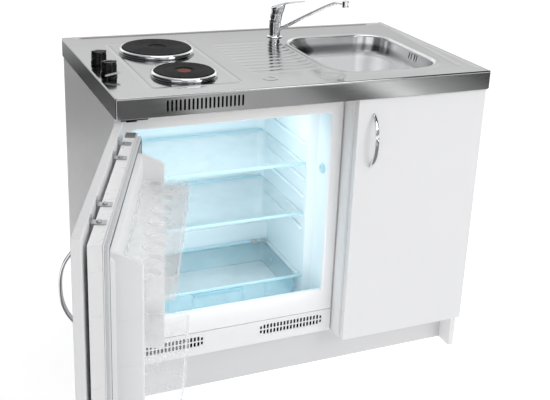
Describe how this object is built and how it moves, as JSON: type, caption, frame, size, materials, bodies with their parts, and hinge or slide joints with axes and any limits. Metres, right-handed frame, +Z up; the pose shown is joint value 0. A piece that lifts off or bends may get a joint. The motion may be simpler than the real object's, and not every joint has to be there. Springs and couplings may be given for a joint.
{
  "type": "kitchenette unit with sink and hob",
  "caption": "Compact kitchen unit: steel worktop with sink, drainer and electric hotplates over a built-in fridge and a cupboard.",
  "frame": {"origin": "middle of the plinth board's bottom face, on the floor", "axes": "+Z up, +Y from the front towards the wall, +X to the right seen from the front"},
  "size_m": [1.2312, 1.1746, 0.961],
  "materials": {
    "steel": "satin",
    "chrome": "polished",
    "zinc": "satin",
    "board_white": "satin",
    "board_raw": "matte",
    "paint_white": "satin",
    "plastic_white": "satin",
    "plastic_clear": "gloss",
    "glass_clear": "gloss",
    "iron_black": "matte",
    "plastic_black": "satin",
    "plastic_grey": "matte",
    "foam": "matte",
    "gasket_grey": "matte",
    "paint_black": "satin"
  },
  "bodies": {
    "carcass": {"worktop_sheet": "steel", "worktop_core": "board_raw", "sink_bowl": "steel", "drain_flange": "chrome", "bottle_trap": "plastic_white", "waste_pipe": "plastic_white", "tap_body": "chrome", "hotplate_rear": "iron_black", "hotplate_ring_rear": "chrome", "hotplate_front": "iron_black", "hotplate_ring_front": "chrome", "hob_switch_rear": "plastic_grey", "hob_switch_front": "plastic_grey", "pilot_lamp": "plastic_black", "side_panel_left": "board_white", "side_panel_right": "board_white", "partition_panel": "board_white", "cupboard_floor": "board_white", "plinth_board": "board_white", "rear_rail": "board_white", "cupboard_back_panel": "board_white", "hinge_arm_upper": "zinc", "hinge_arm_lower": "zinc", "fridge_casing": "paint_white", "fridge_liner": "plastic_white", "fridge_insulation": "foam", "fridge_base_panel": "plastic_white", "compressor": "paint_black", "condenser": "paint_black", "fridge_foot_left": "plastic_black", "fridge_foot_right": "plastic_black", "fridge_rear_runner": "plastic_black", "fridge_hinge_upper": "plastic_black", "fridge_hinge_lower": "plastic_black"},
    "fridge_door": {"front_panel_left": "board_white", "handle_left": "chrome", "fridge_door_shell": "paint_white", "fridge_door_liner": "plastic_white", "fridge_door_gasket": "gasket_grey", "door_bin_upper": "plastic_clear", "door_bin_lower": "plastic_clear", "egg_tray": "plastic_clear", "front_bracket_1": "zinc", "front_bracket_2": "zinc", "front_bracket_3": "zinc", "front_bracket_4": "zinc"},
    "cupboard_door": {"cupboard_door": "board_white", "handle_right": "chrome", "hinge_cup_upper": "zinc", "hinge_cup_lower": "zinc"},
    "knob_rear": {"knob_rear": "plastic_black"},
    "knob_front": {"knob_front": "plastic_black"},
    "tap_spout": {"tap_spout": "chrome"},
    "tap_cap": {"tap_cap": "chrome"},
    "tap_lever": {"tap_lever": "chrome"},
    "thermostat_knob": {"thermostat_knob": "plastic_white"},
    "shelf_upper": {"shelf_upper": "glass_clear"},
    "shelf_lower": {"shelf_lower": "glass_clear"},
    "crisper_cover": {"crisper_cover": "glass_clear"},
    "crisper_drawer": {"crisper_drawer": "plastic_clear"}
  },
  "joints": [
    {"name": "fridge_door_hinge", "type": "hinge", "parent": "carcass", "child": "fridge_door", "pos_m": [-0.5, -0.081, 0.45], "axis": [0, 0, 1], "range_deg": [-4, 110.8]},
    {"name": "shelf_upper_slide", "type": "slide", "parent": "carcass", "child": "shelf_upper", "axis": [0, 1, 0], "range_m": [-0.22, 0]},
    {"name": "shelf_lower_slide", "type": "slide", "parent": "carcass", "child": "shelf_lower", "axis": [0, 1, 0], "range_m": [-0.22, 0]},
    {"name": "crisper_cover_slide", "type": "slide", "parent": "carcass", "child": "crisper_cover", "axis": [0, 1, 0], "range_m": [-0.2, 0]},
    {"name": "crisper_drawer_slide", "type": "slide", "parent": "carcass", "child": "crisper_drawer", "axis": [0, 1, 0], "range_m": [-0.055, 0]},
    {"name": "cupboard_door_hinge", "type": "hinge", "parent": "carcass", "child": "cupboard_door", "pos_m": [0.5, -0.081, 0.45], "axis": [0, 0, 1], "range_deg": [0, 110]},
    {"name": "knob_rear_turn", "type": "hinge", "parent": "carcass", "child": "knob_rear", "pos_m": [-0.466, 0.213, 0.855], "axis": [0, 0, 1], "continuous": true},
    {"name": "knob_front_turn", "type": "hinge", "parent": "carcass", "child": "knob_front", "pos_m": [-0.466, 0.109, 0.855], "axis": [0, 0, 1], "continuous": true},
    {"name": "tap_spout_swivel", "type": "hinge", "parent": "carcass", "child": "tap_spout", "pos_m": [0.085, 0.396, 0.868], "axis": [0, 0, 1], "range_deg": [-75, 80]},
    {"name": "tap_lever_turn", "type": "hinge", "parent": "carcass", "child": "tap_cap", "pos_m": [0.085, 0.396, 0.915], "axis": [0, 0, 1], "range_deg": [-45, 45]},
    {"name": "tap_lever_tilt", "type": "hinge", "parent": "tap_cap", "child": "tap_lever", "pos_m": [0.085, 0.396, 0.9305], "axis": [-0.4384, -0.8988, 0], "range_deg": [0, 22]},
    {"name": "thermostat_turn", "type": "hinge", "parent": "carcass", "child": "thermostat_knob", "pos_m": [0.075, 0.02, 0.572], "axis": [-1, 0, 0], "range_deg": [0, 270]}
  ]
}
